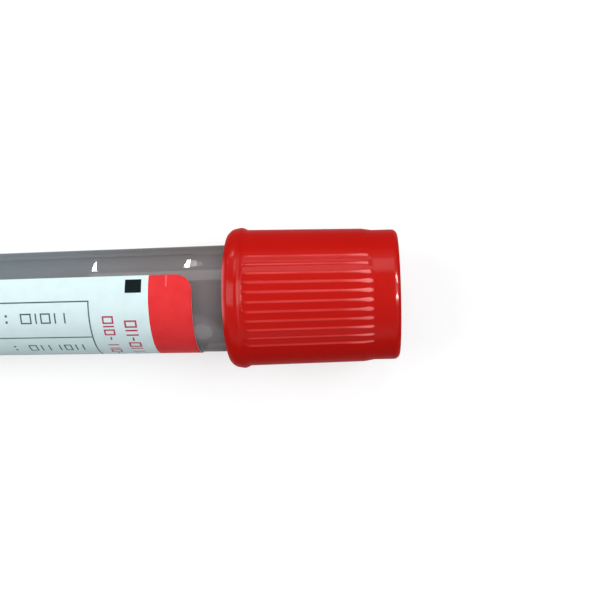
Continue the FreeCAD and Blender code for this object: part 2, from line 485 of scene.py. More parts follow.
@dataclass(frozen=True)
class PaintedShadeBore(Finish):
    """The bore's smoky grey, painted shade for the shaded label back seen through the clear wall; cloudy
    and thinner in places.
    """

    far_colour: Colour = (0.1, 0.1, 0.1)
    shift_s: Span = (30.0, 62.0)
    reflection_colour: Colour = (0.80, 0.80, 0.84)
    reflection_spot: Spot = Spot(60.6, -3.7, 3.95, 1.35)
    cover: float = 0.8

    def patterns(self, surface: Surface) -> dict[str, Any]:
        """Painted shade along the tube, clouds in colour and cover, specks, and one painted reflection near
        the cap.
        """
        clouds = surface.noise(4.0, detail=4.0, stretch=2.0)
        specks = surface.noise(0.5, detail=1.0).ramp(0.68, 0.74)
        # painted reflection: a pale round spot in the bore near the cap
        spot = surface.near(self.reflection_spot)
        pale = clouds.ramp(0.3, 0.8, 0.0, 0.18) + spot * 0.45 + specks * 0.1
        # painted shade: smoky grey along the tube, bluish under the label
        bore_shade = surface.along.ramp(*self.shift_s).tint(self.far_colour, self.colour)
        return {
            "Base Color": pale.tint(bore_shade, self.reflection_colour),
            "Alpha": clouds * 0.12 + spot * 0.1 + self.cover,
            "Roughness": clouds * 0.2 + self.roughness,
            "Normal": surface.bump(clouds, depth=0.02),
        }


@dataclass(frozen=True)
class Rubber(Finish):
    """Matt moulded rubber with its pale bloom."""

    bloom: Colour = (0.2, 0.2, 0.2)

    def patterns(self, surface: Surface) -> dict[str, Any]:
        """Bloom in soft patches, and the fine grain of the mould."""
        grain = surface.noise(0.25, detail=3.0)
        patches = surface.noise(2.5, detail=4.0).ramp(0.35, 0.75)
        return {
            "Base Color": patches.tint(self.colour, self.bloom),
            "Roughness": grain * 0.15 + self.roughness,
            "Normal": surface.bump(grain, depth=0.015),
        }


@dataclass(frozen=True)
class Paper(Finish):
    """Coated label paper, or ink on it: the ink shares the paper's fibres and satin."""

    mottle_and_highlight: Colour = (0.5, 0.5, 0.5)

    def patterns(self, surface: Surface) -> dict[str, Any]:
        """Mottle in the colour, fibres in the relief."""
        fibres = surface.noise(0.18, detail=3.0, stretch=3.0, roughness=0.6)
        mottle = surface.noise(1.6, detail=4.0).ramp(0.35, 0.8)
        return {
            "Base Color": mottle.tint(self.colour, self.mottle_and_highlight),
            "Roughness": fibres * 0.14 + self.roughness,
            "Normal": surface.bump(fibres, depth=0.006),
        }


# The cap's last two colours are painted highlights on its ridge crests, flares and lip.
RED_PLASTIC = MouldedPlastic("red_cap_plastic", (0.52, 0.009, 0.006), roughness=0.32, gloss=1.04,
                             coat_gloss=1.26, coat_roughness=0.17, coat_fade=(0.14, 0.34),
                             flow=(0.50, 0.008, 0.0055), mottle_and_highlight=(0.68, 0.049, 0.044), brightest_highlight=(0.86, 0.19, 0.19))
# The grey tints of the wall and bore are painted shade; the wall's last colour is painted reflection and
# painted light.
CLEAR_WALL = ClearWall("clear_tube_wall", (0.155, 0.134, 0.131), roughness=0.2, gloss=1.04,
                       coat_gloss=1.5, coat_roughness=0.02,
                       far_colour=(0.18, 0.22, 0.245), painted_light_colour=(0.36, 0.345, 0.37))
SHADED_BORE = PaintedShadeBore("painted_shade_bore", (0.58, 0.515, 0.53), 0.5, 1.2, far_colour=(0.40, 0.45, 0.48))
STOPPER_RUBBER = Rubber("stopper_rubber", (0.022, 0.022, 0.024), 0.62, bloom=(0.05, 0.05, 0.052))
LABEL_PAPER = Paper("label_paper", (0.72, 0.88, 0.90), 0.42, 1.08, mottle_and_highlight=(0.68, 0.84, 0.87))
BAND_INK = Paper("label_red_band", (0.80, 0.042, 0.046), 0.36, 1.08, mottle_and_highlight=(0.74, 0.034, 0.037))
DARK_INK = Paper("label_dark_ink", (0.006, 0.012, 0.013), 0.36, 1.12, mottle_and_highlight=(0.010, 0.017, 0.018))
RULE_INK = Paper("label_rule_ink", (0.06, 0.12, 0.13), 0.4, 1.15, mottle_and_highlight=(0.09, 0.16, 0.17))
RED_INK = Paper("label_red_ink", (0.45, 0.035, 0.08), 0.4, 1.15, mottle_and_highlight=(0.55, 0.08, 0.13))
SCUFF = Paper("label_scuff", (0.86, 0.13, 0.14), 0.5, 1.15, mottle_and_highlight=(0.80, 0.09, 0.10))
LABEL_BACK = Paper("label_back", (0.66, 0.72, 0.73), 0.7, 1.2, mottle_and_highlight=(0.60, 0.67, 0.68))


class Outline:
    """A half section in (s, r), drawn corner by corner, with each corner rounded as it is in the mould."""

    def __init__(self, s: float, r: float, radius: float = 0.0) -> None:
        """Start at a corner."""
        self.corners: list[tuple[Vector, float, int]] = []
        self.slot = 0
        self.to(s, r, radius)

    def to(self, s: float, r: float, radius: float = 0.0) -> Outline:
        """Draw straight to a corner with this rounding."""
        self.corners.append((Vector((s, r)), radius, self.slot))
        return self

    def arc(self, centre_s: float, centre_r: float, radius: float,
            start: float, end: float, steps: int) -> Outline:
        """Draw round a centre.

        Args:
            centre_s: The centre's place along the axis.
            centre_r: The centre's distance from the axis.
            radius: Radius of the arc.
            start: Angle of its first point in radians, from outwards and growing towards the cap.
            end: Angle of its last point.
            steps: How many chords it has.

        Returns:
            This outline.
        """
        for i in range(steps + 1):
            turn = start + (end - start) * i / steps
            self.to(centre_s + radius * math.sin(turn), centre_r + radius * math.cos(turn))
        return self

    def finish(self, slot: int) -> Outline:
        """Give what is drawn from here on another material slot."""
        self.slot = slot
        return self

    def _rounded(self, closed: bool, steps: int = 6) -> list[tuple[Vector, int]]:
        """The corners with each rounding in this many chords, and the slot of what follows each point."""
        count = len(self.corners)
        found: list[tuple[Vector, int]] = []
        for i, (corner, radius, slot) in enumerate(self.corners):
            if radius <= 0.0 or (not closed and i in (0, count - 1)):
                found.append((corner, slot))
                continue
            back = (self.corners[i - 1][0] - corner).normalized()
            on = (self.corners[(i + 1) % count][0] - corner).normalized()
            half = back.angle(on) / 2
            centre = corner + (back + on).normalized() * (radius / math.sin(half))
            first = corner + back * (radius / math.tan(half)) - centre
            last = corner + on * (radius / math.tan(half)) - centre
            for j in range(steps + 1):
                found.append((centre + first.slerp(last, j / steps).normalized() * radius, slot))
        return found

    def points(self, spacing: float, closed: bool) -> list[Ring]:
        """The outline's points.

        Args:
            spacing: Longest chord on a straight run.
            closed: Whether the last corner runs back to the first.

        Returns:
            Each point's s and r, and the slot of what follows it.
        """
        found = self._rounded(closed)
        following = found[1:] + (found[:1] if closed else [])
        result: list[Ring] = []
        for (here, slot), (there, _) in zip(found, following):
            pieces = max(1, math.ceil((there - here).length / spacing))
            result += [(*here.lerp(there, i / pieces), slot) for i in range(pieces)]
        return result if closed else [*result, (*found[-1][0], found[-1][1])]


@dataclass
class Turning:
    """Turns an outline into a mesh about the tube's axis, and shows it as a piece."""

    axis: TubeAxis
    angles: Sequence[float]
    radius_at: Callable[[float, float, float], float] | None = None

    def mesh(self, name: str, rings: list[Ring], closed: bool) -> bpy.types.Object:
        """Build the turned mesh.

        Args:
            name: The piece's name.
            rings: Points of the outline, with the slot of the strip after each.
            closed: Whether the last ring joins the first.

        Returns:
            The piece, in the scene, smooth but for its sharp edges.
        """
        shape = bmesh.new()
        rows = [self._row(shape, s, r) for s, r, _ in rings]
        count = len(self.angles)
        for low, high, (_, _, slot) in zip(rows, rows[1:] + (rows[:1] if closed else []), rings):
            for i in range(count):
                j = (i + 1) % count
                corners = [low[i % len(low)], low[j % len(low)], high[j % len(high)], high[i % len(high)]]
                corners = list(dict.fromkeys(corners))
                if len(corners) > 2:
                    face = shape.faces.new(corners)
                    face.material_index = slot
                    face.smooth = True
        bmesh.ops.recalc_face_normals(shape, faces=shape.faces)
        return show(name, shape)

    def _row(self, shape: bmesh.types.BMesh, s: float, r: float) -> list[bmesh.types.BMVert]:
        """The points of one ring, or its one point on the axis."""
        if r < ON_AXIS:
            return [shape.verts.new(self.axis.place(s, 0.0, 0.0))]
        radii = [self.radius_at(s, r, angle) if self.radius_at else r for angle in self.angles]
        return [shape.verts.new(self.axis.place(s, *at)) for at in zip(radii, self.angles)]


def show(name: str, shape: bmesh.types.BMesh, crease: float = 38.0) -> bpy.types.Object:
    """Put a mesh into the scene.

    Args:
        name: The piece's name.
        shape: The mesh, which is used up.
        crease: Angle in degrees from which an edge stays sharp.

    Returns:
        The piece.
    """
    mesh = bpy.data.meshes.new(name)
    shape.to_mesh(mesh)
    shape.free()
    mesh.set_sharp_from_angle(angle=math.radians(crease))
    piece = bpy.data.objects.new(name, mesh)
    bpy.context.scene.collection.objects.link(piece)
    return piece


def even_angles(count: int) -> list[float]:
    """This many angles evenly round the axis."""
    return [360.0 * i / count for i in range(count)]


def wrapped(angle: float, turn: float) -> float:
    """The angle brought to within half a turn of 0, where a turn may be a share of the full one."""
    return (angle + turn / 2) % turn - turn / 2


@dataclass
class Tube:
    """The moulded tube: drafted wall, round bottom with the gate's stub, and an open mouth."""

    axis: TubeAxis
    length: float = 75.0
    mouth_r: float = 6.5
    bottom_r: float = 5.95
    wall: float = 1.0
    rim_round: float = 0.25
    gate_r: float = 0.6
    gate_height: float = 0.2
    gate_round: float = 0.06
    columns: int = 144
    chords: tuple[int, int] = (36, 30)
    spacing: float = 2.0

    @property
    def draft(self) -> float:
        """Angle of the wall to the axis, in radians."""
        return math.asin((self.mouth_r - self.bottom_r) / (self.length - self.bottom_r))

    def outer_r(self, s: float) -> float:
        """Outer radius of the drafted wall."""
        return self.bottom_r / math.cos(self.draft) + (s - self.bottom_r) * math.tan(self.draft)

    def bore_r(self, s: float) -> float:
        """Radius of the bore."""
        return self.outer_r(s) - self.wall / math.cos(self.draft)

    def build(self) -> bpy.types.Object:
        """Turn the tube and dress its wall and its bore.

        Returns:
            The tube's piece.
        """
        inner = self.bottom_r - self.wall
        stub = math.asin(self.gate_r / self.bottom_r)
        outline = Outline(-self.gate_height, 0.0).to(-self.gate_height, self.gate_r, self.gate_round)
        outline.arc(self.bottom_r, 0.0, self.bottom_r, stub - math.pi / 2, -self.draft, self.chords[0])
        outline.to(self.length, self.outer_r(self.length), self.rim_round)
        outline.finish(1).to(self.length, self.bore_r(self.length), self.rim_round)
        outline.arc(self.bottom_r, 0.0, inner, -self.draft, -math.pi / 2, self.chords[1])
        turning = Turning(self.axis, even_angles(self.columns))
        piece = turning.mesh("clear_tube", outline.points(self.spacing, False), False)
        for finish in (CLEAR_WALL, SHADED_BORE):
            piece.data.materials.append(finish.material(self.axis))
        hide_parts("tube")
        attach(piece, "tube")
        return piece


@dataclass
class Stopper:
    """The rubber stopper: a hollow plug with sealing rings, the flange on the rim, neck and head."""

    axis: TubeAxis
    tube: Tube
    plug_length: float = 7.0
    relief: float = 0.3
    seal_gap: float = 0.05
    seal_land: float = 0.5
    seal_slope: float = 0.5
    flange_inset: float = 0.1
    flange_thickness: float = 1.3
    ledge_thickness: float = 1.1
    head_thickness: float = 1.2
    neck_r: float = 4.0
    head_r: float = 4.9
    hollow_r: float = 2.9
    hollow_end_r: float = 1.9
    hollow_depth: float = 4.2
    dimple_r: float = 2.2
    dimple_floor_r: float = 1.2
    dimple_depth: float = 0.4
    tight: float = 0.1
    close: float = 0.15
    soft: float = 0.3
    hollow_round: float = 0.5
    nose_round: float = 0.25
    flange_rounds: Span = (0.2, 0.12)
    columns: int = 96
    spacing: float = 0.8

    @property
    def head_top(self) -> float:
        """Where the head ends, along the axis."""
        return self.tube.length + self.flange_thickness + self.ledge_thickness + self.head_thickness

    def build(self) -> bpy.types.Object:
        """Turn the stopper and dress it.

        Returns:
            The stopper's piece.
        """
        mouth, tight, close, soft = self.tube.length, self.tight, self.close, self.soft
        low = mouth - self.plug_length
        plug_r = self.tube.bore_r(low) - self.relief
        flange_top = mouth + self.flange_thickness
        flange_r = self.tube.mouth_r - self.flange_inset
        ledge_top = flange_top + self.ledge_thickness
        hollow_end = low + self.hollow_depth
        outline = Outline(hollow_end, 0.0).to(hollow_end, self.hollow_end_r, self.hollow_round)
        outline.to(low, self.hollow_r, close).to(low, plug_r, self.nose_round)
        for third in (1, 2):
            middle = low + self.plug_length / 3 * third
            crest = self.seal_land / 2
            foot = crest + self.seal_slope
            ring_r = self.tube.bore_r(middle - crest) - self.seal_gap
            outline.to(middle - foot, plug_r, close).to(middle - crest, ring_r, tight)
            outline.to(middle + crest, ring_r, tight).to(middle + foot, plug_r, close)
        outline.to(mouth, plug_r, tight).to(mouth, flange_r, self.flange_rounds[0])
        outline.to(flange_top, flange_r, self.flange_rounds[1]).to(flange_top, self.neck_r, tight)
        outline.to(ledge_top, self.neck_r, tight).to(ledge_top, self.head_r, close)
        outline.to(self.head_top, self.head_r, soft).to(self.head_top, self.dimple_r, soft)
        floor = self.head_top - self.dimple_depth
        outline.to(floor, self.dimple_floor_r, soft).to(floor, 0.0)
        turning = Turning(self.axis, even_angles(self.columns))
        piece = turning.mesh("rubber_stopper", outline.points(self.spacing, False), False)
        piece.data.materials.append(STOPPER_RUBBER.material(self.axis))
        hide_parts("stopper")
        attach(piece, "closure")
        return piece


@dataclass
class SafetyCap:
    """The moulded safety cap: beaded skirt, barrel with finger flutes, collar, and the well in its top."""

    axis: TubeAxis
    tube: Tube
    stopper: Stopper
    cover: float = 11.7
    length: float = 20.0
    skirt_r: float = 6.95
    lead_in: float = 0.4
    lip_r: float = 7.7
    lip_round: float = 0.6
    brow_at: float = 0.55
    brow_r: float = 8.25
    brow_round: float = 1.2
    bead_r: float = 8.42
    bead_round: float = 0.8
    bead_at: float = 1.55
    bead_back: float = 0.75
    bead_chords: int = 12
    low_r: float = 8.14
    low_round: float = 0.16
    high_r: float = 7.9
    high_round: float = 0.7
    collar_r: float = 7.7
    collar_length: float = 3.0
    collar_round: float = 0.5
    shoulder_length: float = 1.2
    edge_round: float = 0.7
    well_r: float = 6.2
    well_round: float = 0.25
    hole_r: float = 4.05
    inner_round: float = 0.2
    ledge_round: float = 0.15
    bore_round: float = 0.1
    spacing: float = 0.6
    flute_count: int = 10
    flute_pitch: float = 7.75
    flute_r: float = 0.7
    flute_depth: float = 0.13
    flute_runout: float = 0.005
    flute_flatness: float = 8.0
    flute_share: float = 0.4
    flute_soften: float = 0.03
    flute_run_in: float = 0.15
    flute_margin: float = 0.25
    flute_columns: int = 24
    plain_columns: int = 180
    column_gap: float = 0.16
    group_angles: Span = (4.0, 184.0)
    rib_count: int = 8
    rib_width: float = 0.8
    rib_tip_r: float = 6.62
    rib_from_lip: float = 2.5
    rib_length: float = 6.0
    rib_side: float = 0.25
    inner_reach: float = 0.3
    run_in_rings: tuple[float, ...] = (0.06, 0.12, 0.18, 0.24, 0.3, 0.36, 0.45)
    run_out_step: float = 0.08
    run_out_count: int = 15
    slack: float = 0.01

    @property
    def lip_s(self) -> float:
        """The cap's open end, along the axis."""
        return self.tube.length - self.cover

    @property
    def top_s(self) -> float:
        """The cap's closed end, along the axis."""
        return self.lip_s + self.length

    @property
    def crease_s(self) -> float:
        """The crease behind the bead, along the axis."""
        return self.lip_s + self.bead_at + self.bead_back

    @property
    def collar_s(self) -> float:
        """Where the collar begins, along the axis."""
        return self.top_s - self.collar_length

    def _flank(self, s: float, r: float) -> float:
        """How far round the bead's crest the flank from a point meets it, in radians."""
        run = abs(self.lip_s + self.bead_at - s)
        rise = r - (self.bead_r - self.bead_round)
        return math.atan2(run, rise) - math.acos(self.bead_round / math.hypot(run, rise))

    def outline(self) -> Outline:
        """The closed half section of the cap, without flutes and ribs."""
        brow_s = self.lip_s + self.brow_at
        front = self._flank(brow_s, self.brow_r)
        back = self._flank(self.crease_s, self.low_r)
        flange_top = self.tube.length + self.stopper.flange_thickness
        ledge_top = flange_top + self.stopper.ledge_thickness
        drawn = Outline(self.lip_s, self.skirt_r + self.lead_in, self.bore_round)
        drawn.to(self.lip_s, self.lip_r, self.lip_round).to(brow_s, self.brow_r, self.brow_round)
        crest_r = self.bead_r - self.bead_round
        drawn.arc(self.lip_s + self.bead_at, crest_r, self.bead_round, -front, back, self.bead_chords)
        drawn.to(self.crease_s, self.low_r, self.low_round)
        drawn.to(self.collar_s - self.shoulder_length, self.high_r, self.high_round)
        drawn.to(self.collar_s, self.collar_r, self.collar_round)
        drawn.to(self.top_s, self.collar_r, self.edge_round).to(self.top_s, self.well_r, self.well_round)
        drawn.to(ledge_top, self.well_r, self.inner_round).to(ledge_top, self.hole_r, self.ledge_round)
        drawn.to(flange_top, self.hole_r, self.ledge_round).to(flange_top, self.skirt_r, self.inner_round)
        return drawn.to(self.lip_s + self.lead_in, self.skirt_r, self.ledge_round)

    def angles(self) -> list[float]:
        """Angles of the columns: fine over the flutes, at the ribs' sides, and plain between."""
        margin = self.flute_pitch * (self.flute_count / 2 + self.flute_margin)
        step = self.flute_pitch / self.flute_columns
        count = round(2 * margin / step)
        kept = sorted((middle - margin + step * i) % 360.0 for middle in self.group_angles
                      for i in range(count + 1))
        half = math.degrees(self.rib_width / 2 / self.rib_tip_r)
        plain = [rib + side * reach for rib in even_angles(self.rib_count)
                 for side in (-1, 1) for reach in (half, half + self.rib_side)]
        for angle in sorted(a % 360.0 for a in plain + even_angles(self.plain_columns)):
            if min(abs(wrapped(angle - other, 360.0)) for other in kept) > self.column_gap:
                kept.append(angle)
        return sorted(kept)

    def radius(self, s: float, r: float, angle: float) -> float:
        """Radius of the cap's surface where the plain section has radius r.

        Args:
            s: Place along the axis.
            r: Radius of the plain section.
            angle: Angle round the axis.

        Returns:
            The radius with the flute or the rib that is there.
        """
        if r < self.skirt_r + self.inner_reach:
            return self._rib(s, r, angle)
        if not self.crease_s < s < self.collar_s:
            return r
        along = (s - self.crease_s) / (self.collar_s - self.crease_s)
        floor_r = self.low_r - self.flute_depth
        floor_r += (self.collar_r + self.flute_runout - floor_r) * along
        deep = r - floor_r
        if deep <= 0.0:
            return r
        for middle in self.group_angles:
            place = wrapped(angle - middle, 360.0) / self.flute_pitch + (self.flute_count - 1) / 2
            nearest = min(max(round(place), 0), self.flute_count - 1)
            offset = abs(place - nearest) * math.radians(self.flute_pitch) * r
            if offset < 2 * self.flute_r:
                deep *= 1.0 - max(0.0, 1.0 - (s - self.crease_s) / self.flute_run_in) ** 2
                half = math.sqrt(2 * self.flute_r * deep) + 1e-6
                cut = max(deep * self.flute_share * (1.0 - (offset / half) ** self.flute_flatness), -1.0)
                blend = max(self.flute_soften - abs(cut), 0.0) / self.flute_soften
                return r - max(cut, 0.0) - blend**2 * self.flute_soften / 4
        return r

    def _rib(self, s: float, r: float, angle: float) -> float:
        """Radius of the skirt's bore, which is smaller on a rib."""
        from_rib = s - self.lip_s - self.rib_from_lip
        if r < self.skirt_r - self.slack or not -self.slack <= from_rib <= self.rib_length + self.slack:
            return r
        half = math.degrees(self.rib_width / 2 / self.rib_tip_r)
        return self.rib_tip_r if abs(wrapped(angle, 360.0 / self.rib_count)) <= half + self.slack else r

    def rings(self) -> list[Ring]:
        """The outline's points, with more of them where flutes and ribs begin and end."""
        plain = self.outline().points(self.spacing, True)
        outside = [self.crease_s + past for past in self.run_in_rings]
        outside += [self.collar_s - self.run_out_step * (i + 1) for i in range(self.run_out_count)]
        start = self.lip_s + self.rib_from_lip
        end = start + self.rib_length
        inside = [start - 2 * self.slack, start, end, end + 2 * self.slack]
        found: list[Ring] = []
        for (s, r, slot), (s2, r2, _) in zip(plain, plain[1:] + plain[:1]):
            found.append((s, r, slot))
            rising = s2 > s
            on_bore = abs(r - self.skirt_r) <= self.slack and abs(r2 - self.skirt_r) <= self.slack
            if not rising and not on_bore:
                continue
            wanted = outside if rising and min(r, r2) > self.collar_r - self.slack else inside
            low, high = min(s, s2) + 1.5 * self.slack, max(s, s2) - 1.5 * self.slack
            between = sorted((x for x in wanted if low < x < high), reverse=not rising)
            found += [(x, r + (r2 - r) * (x - s) / (s2 - s), slot) for x in between]
        return found

    def build(self) -> bpy.types.Object:
        """Build the cap's mesh and dress it.

        Returns:
            The cap's piece.
        """
        turning = Turning(self.axis, self.angles(), self.radius)
        piece = turning.mesh("safety_cap_moulding", self.rings(), True)
        piece.data.materials.append(RED_PLASTIC.material(self.axis))
        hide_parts("safety_cap")
        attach(piece, "closure")
        return piece


class Ink(IntEnum):
    """What covers a cell of the label, in the order of its material slots."""

    PAPER = 0
    BAND = 1
    DARK = 2
    RULE = 3
    RED = 4
    SCUFF = 5
    BACK = 6


class Sign(Enum):
    """A plain shape that stands where a letter would."""

    BOX = "hollow box"
    PAIR = "two bars across the row"
    BAR = "one bar across the row"
    DASH = "one bar along the row"
    GAP = "nothing"


Signs = tuple[tuple[Sign, float], ...]


INKS: dict[Ink, Paper] = {
    Ink.PAPER: LABEL_PAPER,
    Ink.BAND: BAND_INK,
    Ink.DARK: DARK_INK,
    Ink.RULE: RULE_INK,
    Ink.RED: RED_INK,
    Ink.SCUFF: SCUFF,
    Ink.BACK: LABEL_BACK,
}


@dataclass(frozen=True)
class Mark:
    """A printed field: a rectangle along and round the label."""

    ink: Ink
    start_s: float
    end_s: float
    start_angle: float
    end_angle: float

    def covers(self, s: float, angle: float) -> bool:
        """Whether this place on the label lies in the field."""
        return self.start_s <= s <= self.end_s and self.start_angle <= angle <= self.end_angle


@dataclass(frozen=True)
class Row:
    """A printed row of plain shapes, along the label in millimetres or round it in degrees.

    The middle and the height of the row are given in the other measure, and the stroke in millimetres.
    """

    ink: Ink
    start: float
    middle: float
    high: float
    stroke: float
    gap: float
    along: bool
    signs: Signs

    def marks(self, turn: float) -> list[Mark]:
        """Every stroke of the row's shapes.

        Args:
            turn: Angle in degrees that a millimetre takes up round the label.

        Returns:
            The strokes as printed fields.
        """
        round_it = self.stroke * turn
        thick, thin = (self.stroke, round_it) if self.along else (round_it, self.stroke)
        low, top = self.middle - self.high / 2, self.middle + self.high / 2
        start = self.start
        lines: list[tuple[float, float, float, float]] = []
        for sign, width in self.signs:
            end = start + width
            if sign in (Sign.BOX, Sign.PAIR, Sign.BAR):
                lines.append((start, start + thick, low, top))
            if sign in (Sign.BOX, Sign.PAIR):
                lines.append((end - thick, end, low, top))
            if sign is Sign.BOX:
                lines += [(start, end, low, low + thin), (start, end, top - thin, top)]
            if sign is Sign.DASH:
                lines.append((start, end, self.middle - thin / 2, self.middle + thin / 2))
            start = end + self.gap
        return [Mark(self.ink, *(line if self.along else line[2:] + line[:2])) for line in lines]


BOX, PAIR, BAR, DASH, GAP = Sign
FIELD_SIGNS: tuple[Signs, ...] = (
    ((BOX, 1.3), (BAR, 0.17), (BOX, 1.2), (PAIR, 1.3)),
    ((BOX, 1.0), (PAIR, 1.1), (GAP, 0.2), (BAR, 0.17), (BOX, 0.9), (PAIR, 1.0)),
    ((PAIR, 1.2), (BOX, 1.1), (DASH, 0.8), (BOX, 1.2)),
)
LARGE_ROW = Row(Ink.RED, 20.6, 52.45, 1.45, 0.21, 2.4, False, (
    (BOX, 8.6), (PAIR, 7.8), (DASH, 5.0), (BOX, 8.4), (PAIR, 10.5), (GAP, 4.0), (BOX, 8.0), (BAR, 1.6)))
SMALL_ROW = Row(Ink.RED, 15.6, 49.85, 1.3, 0.19, 2.2, False, (
    (BOX, 8.6), (BAR, 2.0), (BOX, 7.6), (DASH, 4.4), (GAP, 3.0), (PAIR, 8.6), (BOX, 7.6), (DASH, 4.4),
    (BAR, 2.0), (PAIR, 7.4), (BOX, 7.6)))


@dataclass
class Label:
    """The wrapped label with its band, ruled boxes, and plain shapes where words would stand."""

    axis: TubeAxis
    tube: Tube
    start_s: float = 13.7
    end_s: float = 59.7
    from_angle: float = -26.2
    wrap: float = 267.6
    thickness: float = 0.1
    lift: float = 0.02
    corner_r: float = 2.0
    corner_steps: int = 10
    column_step: float = 2.5
    ring_step: float = 3.0
    end_ring_step: float = 0.4
    print_s: float = 45.0
    band_s: float = 54.7
    scuff_s: Span = (56.66, 56.84)
    scuff_angle: Span = (-25.4, -13.5)
    square_s: Span = (52.0, 53.9)
    square_angle: Span = (-21.9, -7.7)
    box_s: Span = (16.5, 47.72)
    rule_width: float = 0.16
    rule_count: int = 6
    first_rule: float = -0.3
    rule_pitch: float = 40.4
    row_from_rule: float = 17.2
    row_start_s: float = 39.6
    row_high: float = 11.5
    row_stroke: float = 0.17
    row_gap: float = 0.45
    colon_s: Span = (37.8, 38.06)
    colon_dots: Span = (-3.4, 3.4)
    colon_half: float = 1.3
    marks: list[Mark] = field(default_factory=list)

    @property
    def end_angle(self) -> float:
        """The last edge of the sheet."""
        return self.from_angle + self.wrap

    @property
    def turn(self) -> float:
        """Angle in degrees that a millimetre takes up round the printed part of the label."""
        return math.degrees(1.0 / self.tube.outer_r(self.print_s))

    def lay_out(self) -> None:
        """Set out the band, the mark, the ruled boxes and the rows of plain shapes."""
        low, high = self.box_s
        half = self.rule_width / 2
        turn = half * self.turn
        self.marks.append(Mark(Ink.BAND, self.band_s, self.end_s, self.from_angle, self.end_angle))
        self.marks.append(Mark(Ink.SCUFF, *self.scuff_s, *self.scuff_angle))
        self.marks.append(Mark(Ink.DARK, *self.square_s, *self.square_angle))
        rules = [self.first_rule + self.rule_pitch * i for i in range(self.rule_count)]
        self.marks += [Mark(Ink.RULE, low, high, angle - turn, angle + turn) for angle in rules]
        self.marks += [Mark(Ink.RULE, s - half, s + half, rules[0] - turn, rules[-1] + turn)
                       for s in self.box_s]
        for i, angle in enumerate(rules[:-1]):
            middle = angle + self.row_from_rule
            for dot in (middle + off for off in self.colon_dots):
                edges = (dot - self.colon_half, dot + self.colon_half)
                self.marks.append(Mark(Ink.RULE, *self.colon_s, *edges))
            signs = FIELD_SIGNS[i % len(FIELD_SIGNS)]
            row = Row(Ink.RULE, self.row_start_s, middle, self.row_high, self.row_stroke, self.row_gap,
                      True, signs)
            self.marks += row.marks(self.turn)
        self.marks += LARGE_ROW.marks(self.turn) + SMALL_ROW.marks(self.turn)

    def _lines(self, low: float, high: float, step: float, wanted: Sequence[float]) -> list[float]:
        """Grid lines from low to high: the wanted ones, and plain ones a step apart where none is near."""
        kept = sorted({round(min(max(x, low), high), 4) for x in (low, high, *wanted)})
        found: list[float] = []
        for here, there in zip(kept, kept[1:]):
            pieces = max(1, math.ceil((there - here) / step - 0.01))
            found += [here + (there - here) * i / pieces for i in range(pieces)]
        return found + [kept[-1]]

    def _point(self, s: float, angle: float) -> Vector:
        """The place in metres of a point on the sheet's face, held inside its rounded corners."""
        near = min(angle - self.from_angle, self.end_angle - angle)
        inset = math.radians(near) * self.tube.outer_r(s)
        if inset < self.corner_r:
            cut = self.corner_r - math.sqrt(self.corner_r**2 - (self.corner_r - inset) ** 2)
            s = min(max(s, self.start_s + cut), self.end_s - cut)
        return self.axis.place(s, self.tube.outer_r(s) + self.lift + self.thickness, angle)

    def build(self) -> bpy.types.Object:
        """Build the sheet with its print and dress it.

        Returns:
            The label's piece.
        """
        self.lay_out()
        turn = math.degrees(self.corner_r / self.tube.outer_r(self.start_s))
        steps = range(self.corner_steps + 1)
        bends = [turn * (1 - math.cos(math.pi / 2 * i / self.corner_steps)) for i in steps]
        wanted = [x for mark in self.marks for x in (mark.start_angle, mark.end_angle)]
        wanted += [self.from_angle + x for x in bends] + [self.end_angle - x for x in bends]
        angles = self._lines(self.from_angle, self.end_angle, self.column_step, wanted)
        wanted = [x for mark in self.marks for x in (mark.start_s, mark.end_s)]
        insets = [self.end_ring_step * i for i in range(math.ceil(self.corner_r / self.end_ring_step) + 1)]
        wanted += [self.start_s + x for x in insets] + [self.end_s - x for x in insets]
        places = self._lines(self.start_s, self.end_s, self.ring_step, wanted)
        shape = bmesh.new()
        grid = [[shape.verts.new(self._point(s, angle)) for angle in angles] for s in places]
        for i, (s, next_s) in enumerate(zip(places, places[1:])):
            for j, (angle, next_angle) in enumerate(zip(angles, angles[1:])):
                face = shape.faces.new((grid[i][j], grid[i][j + 1], grid[i + 1][j + 1], grid[i + 1][j]))
                face.smooth = True
                inks = [mark.ink for mark in self.marks
                        if mark.covers((s + next_s) / 2, (angle + next_angle) / 2)]
                face.material_index = inks[-1] if inks else Ink.PAPER
        bmesh.ops.remove_doubles(shape, verts=shape.verts, dist=1e-6)
        middle = shape.faces[:][len(shape.faces) // 2]
        out = middle.calc_center_median() - self.axis.tip
        if (out - self.axis.along * out.dot(self.axis.along)).dot(middle.normal) < 0:
            bmesh.ops.reverse_faces(shape, faces=shape.faces)
        piece = show("wrap_label", shape)
        for ink in Ink:
            piece.data.materials.append(INKS[ink].material(self.axis))
        solid = piece.modifiers.new("sheet", "SOLIDIFY")
        solid.thickness = self.thickness * MM
        solid.offset = -1.0
        solid.material_offset = len(Ink)
        solid.material_offset_rim = len(Ink)
        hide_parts("label")
        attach(piece, "tube")
        return piece


class Face(Enum):
    """The outline of a lamp's face, by Blender's name for it."""

    RECTANGLE = "RECTANGLE"
    ELLIPSE = "ELLIPSE"


@dataclass(frozen=True)
class Glint:
    """A small lamp that shows in gloss as one mark of light at a place on a piece.

    The place is s along the axis, r from it and the angle round it, the lean is the angle in degrees by
    which the surface there leans towards the cap's end, and the size (across the tube, along it) and the
    reach from the place to the lamp are in metres.
    """

    name: str
    place: Place
    lean: float
    size: Span
    radiance: float
    reach: float
    face: Face = Face.RECTANGLE


